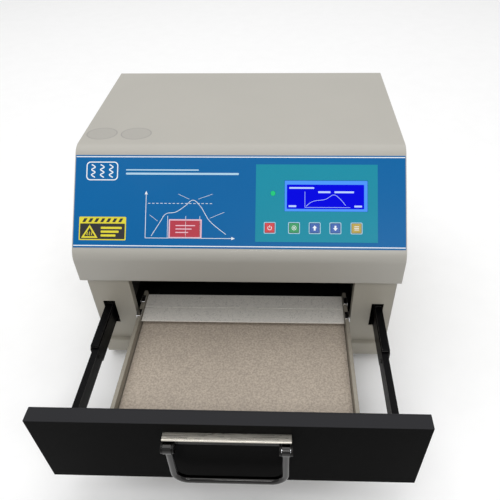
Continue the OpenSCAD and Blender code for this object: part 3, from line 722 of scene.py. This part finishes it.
def slab_strip(bm, left, right, n0, n1, to_world):
    """Closed slab between two lines of points that run side by side."""
    rings = [
        [bm.verts.new(to_world(x, s, n)) for x, s in side]
        for side, n in ((left, n0), (left, n1), (right, n1), (right, n0))
    ]
    count = len(left)
    for k in range(4):
        a, b = rings[k], rings[(k + 1) % 4]
        for i in range(count - 1):
            bm.faces.new((a[i], a[i + 1], b[i + 1], b[i]))
    for i in (0, count - 1):
        bm.faces.new([r[i] for r in rings])


def print_layer(name, material, body="cabinet"):
    """Collects drawing calls on one mesh, then makes it a piece."""
    bm = bmesh.new()

    def done():
        bmesh.ops.recalc_face_normals(bm, faces=bm.faces)
        mesh = bpy.data.meshes.new(name)
        bm.to_mesh(mesh)
        bm.free()
        mesh.materials.append(MATS[material])
        obj = bpy.data.objects.new(name, mesh)
        bpy.context.scene.collection.objects.link(obj)
        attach(obj, body)
        return obj

    return bm, done


def smooth_line(knots, steps=8):
    """Catmull-Rom curve through the knots."""
    points = []
    padded = [knots[0], *knots, knots[-1]]
    for i in range(1, len(padded) - 2):
        p0, p1, p2, p3 = (Vector(p) for p in padded[i - 1 : i + 3])
        for k in range(steps):
            t = k / steps
            points.append(tuple(
                0.5 * (2 * p1 + (p2 - p0) * t + (2 * p0 - 5 * p1 + 4 * p2 - p3) * t * t
                       + (3 * p1 - p0 - 3 * p2 + p3) * t ** 3)
            ))
    points.append(tuple(knots[-1]))
    return points


# heights out of the cover of the ink's foot, and of its top on the blue skin and the teal one
FOOT = 0.25
TOP = 0.34
TEAL_TOP = 0.44
# the hazard label's three layers, each from just inside the one below
YELLOW_LAYER = (FOOT, 0.36)
DARK_LAYER = (0.3, 0.4)
BRIGHT_LAYER = (0.35, 0.44)
# half the skin's width, and its length up the slope
HALF = (label_hi.x - label_lo.x) / 2 / MM
LENGTH = 93.2


def draw_white():
    """Border lines, the unlettered heating chart and a plain heat mark."""
    bm, done = print_layer("label_print_white", "white")
    low, high = FOOT, TOP
    # border lines
    for s in (1.6, LENGTH - 2.2):
        slab(
            bm,
            [(-HALF + 0.4, s), (HALF - 0.4, s), (HALF - 0.4, s + 0.9), (-HALF + 0.4, s + 0.9)],
            low, high,
        )
    # heating profile chart: axes, curve, dashed guide and callout ticks
    ox, os_, top, end = -92, 10, 54, -6
    stroke(bm, [(ox, os_), (ox, top)], 0.5, low, high)
    stroke(bm, [(ox, os_), (end, os_)], 0.5, low, high)
    slab(bm, [(ox - 1.5, top - 0.5), (ox + 1.5, top - 0.5), (ox, top + 3)], low, high)
    slab(bm, [(end - 0.5, os_ - 1.5), (end + 3, os_), (end - 0.5, os_ + 1.5)], low, high)
    curve = smooth_line(
        [
            (-86, 12), (-78, 25), (-72, 34), (-62, 36), (-53, 42), (-45, 48), (-37, 41),
            (-28, 27), (-12, 14),
        ],
    )
    stroke(bm, curve, 0.5, low, high)
    for i in range(16):
        x = -90 + i * 4.1
        stroke(bm, [(x, 44.6), (x + 2.4, 44.6)], 0.45, low, high)
    for x in (-70, -52, -38):
        stroke(bm, [(x, os_), (x, os_ + 22)], 0.4, low, high)
    for points in (
        [(-60, 54), (-49, 49)], [(-26, 54), (-40, 49)], [(-14, 36), (-28, 30)],
        [(-88, 33), (-80, 27)],
    ):
        stroke(bm, points, 0.3, low, high)
    # heat mark in a round-cornered frame
    for k in range(3):
        wave = smooth_line(
            [(-146 + k * 9 + 1.8 * (-1) ** i, 70.5 + i * 2.6) for i in range(6)], 6,
        )
        stroke(bm, wave, 1.1, low, high)
    frame_of(
        bm, rounded(-153, 67.5, -121, 86.5, 4), rounded(-152, 68.5, -122, 85.5, 3.2), low, high,
    )
    done()


def draw_rule():
    """Blank rules in place of a title."""
    bm, done = print_layer("label_print_rule", "pale_blue")
    slab(bm, rounded(-113, 73.4, 0, 75.4, 0.9), FOOT, TOP)
    slab(bm, rounded(-113, 77.6, -40, 78.8, 0.5), FOOT, TOP)
    done()


def draw_block():
    """The chart's coloured block, with blank bars."""
    bm, done = print_layer("label_print_red", "red_ink")
    slab(bm, rounded(-67.4, 11.2, -37.4, 27.4, 0.4), FOOT, TOP)
    done()
    bm, done = print_layer("label_print_pink", "pink_ink")
    frame_of(
        bm, rounded(-68.8, 9.9, -36, 28.8, 0.6), rounded(-67.5, 11.1, -37.3, 27.5, 0.4),
        FOOT, TOP,
    )
    for s in (22, 18.6, 15.2):
        slab(bm, rounded(-62, s, -42.5 - (22 - s), s + 1, 0.4), 0.3, TOP + 0.04)
    done()


def draw_hazard():
    """Generic hot-surface label: hazard bars over a dark field, with no lettering."""
    x0, s0, x1, s1 = -158.4, 7.4, -111.4, 30.8
    bm, done = print_layer("label_print_yellow", "yellow_ink")
    slab(bm, rounded(x0, s0, x1, s1, 1), *YELLOW_LAYER)
    done()
    bm, done = print_layer("label_print_black", "black_ink")
    slab(bm, rounded(x0 + 1.1, s0 + 1.1, x1 - 1.1, 24, 0.5), *DARK_LAYER)
    for i in range(7):
        x = x0 + 3 + i * 6
        slab(bm, [(x, 25.4), (x + 3, 25.4), (x + 5.2, 29.2), (x + 2.2, 29.2)], *DARK_LAYER)
    done()
    bm, done = print_layer("label_print_heat", "yellow_ink")
    outer = [(-156, 9.6), (-139.4, 9.6), (-147.7, 22.8)]
    inner = [(-153.2, 11.2), (-142.2, 11.2), (-147.7, 19.9)]
    frame_of(bm, outer, inner, *BRIGHT_LAYER)
    for k in range(3):
        wave = smooth_line(
            [(-150 + k * 2.3 + 0.45 * (-1) ** i, 12.2 + i * 1.2) for i in range(4)], 5
        )
        stroke(bm, wave, 0.6, *BRIGHT_LAYER)
    for s in (18.6, 14.8, 11):
        slab(bm, rounded(-136.5, s, -115.5 - (18.6 - s) * 0.8, s + 2.2, 0.5), *BRIGHT_LAYER)
    done()


draw_white()
draw_rule()
draw_block()
draw_hazard()

# ---------- display and keys ----------

# height of the keys' middles up the slope, and half a key's width
KEY_S = 20.9
KEY_HALF = 4.7
KEY_NODES = ("key_power", "key_auto", "key_up", "key_down", "key_set")


def centre_x(node):
    """Middle of a node across the oven, in millimetres."""
    low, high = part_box(node)
    return (low.x + high.x) / 2 / MM


def draw_display():
    """Lit border, blank menu bars and a heating trace on the display's face."""
    x0, x1 = glass_lo.x / MM, glass_hi.x / MM
    s0, s1 = 37.5, 68.2
    bm, done = print_layer("display_border", "lcd_edge")
    frame_of(
        bm, rounded(x0 + 0.1, s0 + 0.1, x1 - 0.1, s1 - 0.1, 0.6),
        rounded(x0 + 2.2, s0 + 2.4, x1 - 3.4, s1 - 4, 0.6), -0.15, -0.06,
    )
    done()
    bm, done = print_layer("display_picture", "lcd_ink")
    low, high = -0.12, -0.05
    # menu bars and a heating trace
    slab(bm, rounded(x0 + 4.5, s1 - 8.2, x0 + 29, s1 - 6.6, 0.3), low, high)
    slab(bm, rounded(x0 + 33, s1 - 12.4, x0 + 45, s1 - 10.6, 0.3), low, high)
    slab(bm, rounded(x0 + 49, s1 - 12.4, x0 + 68, s1 - 10.6, 0.3), low, high)
    slab(bm, rounded(x0 + 4, s0 + 4.2, x0 + 11.5, s0 + 6, 0.3), low, high)
    slab(bm, rounded(x1 - 13, s0 + 4.2, x1 - 5.5, s0 + 6, 0.3), low, high)
    ax, top = x0 + 20, s1 - 11
    stroke(bm, [(ax, s0 + 4), (ax, top)], 0.35, low, high)
    stroke(bm, [(ax, s0 + 4), (x1 - 17, s0 + 4)], 0.35, low, high)
    trace = smooth_line(
        [
            (ax + 1, s0 + 5), (ax + 8, s0 + 10), (ax + 20, s0 + 12), (ax + 28, s0 + 16.5),
            (ax + 34, s0 + 13), (ax + 40, s0 + 6),
        ],
    )
    stroke(bm, trace, 0.4, low, high)
    done()


def key_icon(name, node, draw):
    """Icon that rides its key."""
    bm, done = print_layer(name, "white", BODY_OF[node])
    draw(bm, centre_x(node))
    done()


# icon ink, from just inside the key's face to just above it, and the width of its lines
K0, K1 = 0.86, 0.94
ICON_LINE = 0.5


def icon_power(bm, x):
    """Open ring with a stroke through its gap."""
    r, start, turn, steps = 1.9, 125, 290, 28
    angles = [math.radians(start + turn * i / steps) for i in range(steps + 1)]
    arc = [(x + r * math.cos(a), KEY_S - 0.2 + r * math.sin(a)) for a in angles]
    stroke(bm, arc, ICON_LINE, K0, K1)
    stroke(bm, [(x, KEY_S + 0.2), (x, KEY_S + 2.5)], ICON_LINE, K0, K1)


def icon_auto(bm, x):
    """Ring round a dot."""
    r, steps = 2.0, 32
    outer, inner = r + ICON_LINE / 2, r - ICON_LINE / 2
    frame_of(
        bm, ellipse(x, KEY_S, outer, outer, steps), ellipse(x, KEY_S, inner, inner, steps),
        K0, K1,
    )
    slab(bm, ellipse(x, KEY_S, 0.8, 0.8, 16), K0, K1)


def arrow(bm, x, way):
    """Arrow icon that points up the slope for way 1 and down it for -1."""
    slab(bm, [(x - 2.3 * way, KEY_S), (x + 2.3 * way, KEY_S), (x, KEY_S + 2.6 * way)], K0, K1)
    a, b = sorted((KEY_S - 2.4 * way, KEY_S))
    slab(bm, [(x - 0.9, a), (x + 0.9, a), (x + 0.9, b), (x - 0.9, b)], K0, K1)


def icon_set(bm, x):
    """Three menu bars."""
    for s in (-1.6, 0, 1.6):
        slab(bm, rounded(x - 2.3, KEY_S + s - 0.3, x + 2.3, KEY_S + s + 0.3, 0.2), K0, K1)


draw_display()
key_icon("icon_power", "key_power", icon_power)
key_icon("icon_auto", "key_auto", icon_auto)
key_icon("icon_up", "key_up", lambda bm, x: arrow(bm, x, 1))
key_icon("icon_down", "key_down", lambda bm, x: arrow(bm, x, -1))
key_icon("icon_set", "key_set", icon_set)

bm, done = print_layer("key_outlines", "pale_blue")
for node in KEY_NODES:
    x = centre_x(node)
    a, b = KEY_HALF + 0.35, KEY_HALF + 1.05
    frame_of(
        bm, rounded(x - b, KEY_S - b, x + b, KEY_S + b, 1.2),
        rounded(x - a, KEY_S - a, x + a, KEY_S + a, 0.8), 0.35, TEAL_TOP,
    )
done()

# ---------- stage ----------

FLOOR_HALF = 6
FLOOR_GAP = 0.5 * MM
SKY = 0.55
KEY_LIGHT = dict(place=(-0.2, 0.5, 2.4), aim=(0, 0.2, 0.1), size=(3.4, 2.8), power=42)
FRONT_LIGHT = dict(place=(0.25, -0.95, 1.15), aim=(0, -0.1, 0.1), size=(0.9, 0.1), power=4)


def area_light(name, place, aim, size, power):
    data = bpy.data.lights.new(name, "AREA")
    data.shape = "RECTANGLE"
    data.size, data.size_y = size
    data.energy = power
    obj = bpy.data.objects.new(name, data)
    bpy.context.scene.collection.objects.link(obj)
    obj.location = place
    obj.rotation_mode = "QUATERNION"
    obj.rotation_quaternion = (Vector(aim) - Vector(place)).to_track_quat("-Z", "Y")


def make_stage():
    bm = bmesh.new()
    bmesh.ops.create_grid(bm, x_segments=8, y_segments=8, size=FLOOR_HALF)
    mesh = bpy.data.meshes.new("floor")
    bm.to_mesh(mesh)
    bm.free()
    mesh.materials.append(surface("floor_paper", (0.95, 0.95, 0.95), 0.8, vary=0.01, bump=0.02))
    floor = bpy.data.objects.new("floor", mesh)
    floor.location = (0, 0, -FLOOR_GAP)
    bpy.context.scene.collection.objects.link(floor)
    world = bpy.data.worlds.new("studio")
    world.use_nodes = True
    background = world.node_tree.nodes["Background"]
    background.inputs["Color"].default_value = (1, 1, 1, 1)
    background.inputs["Strength"].default_value = SKY
    bpy.context.scene.world = world
    area_light("key", **KEY_LIGHT)
    area_light("front", **FRONT_LIGHT)
    bpy.context.scene.view_settings.view_transform = "Standard"


make_stage()
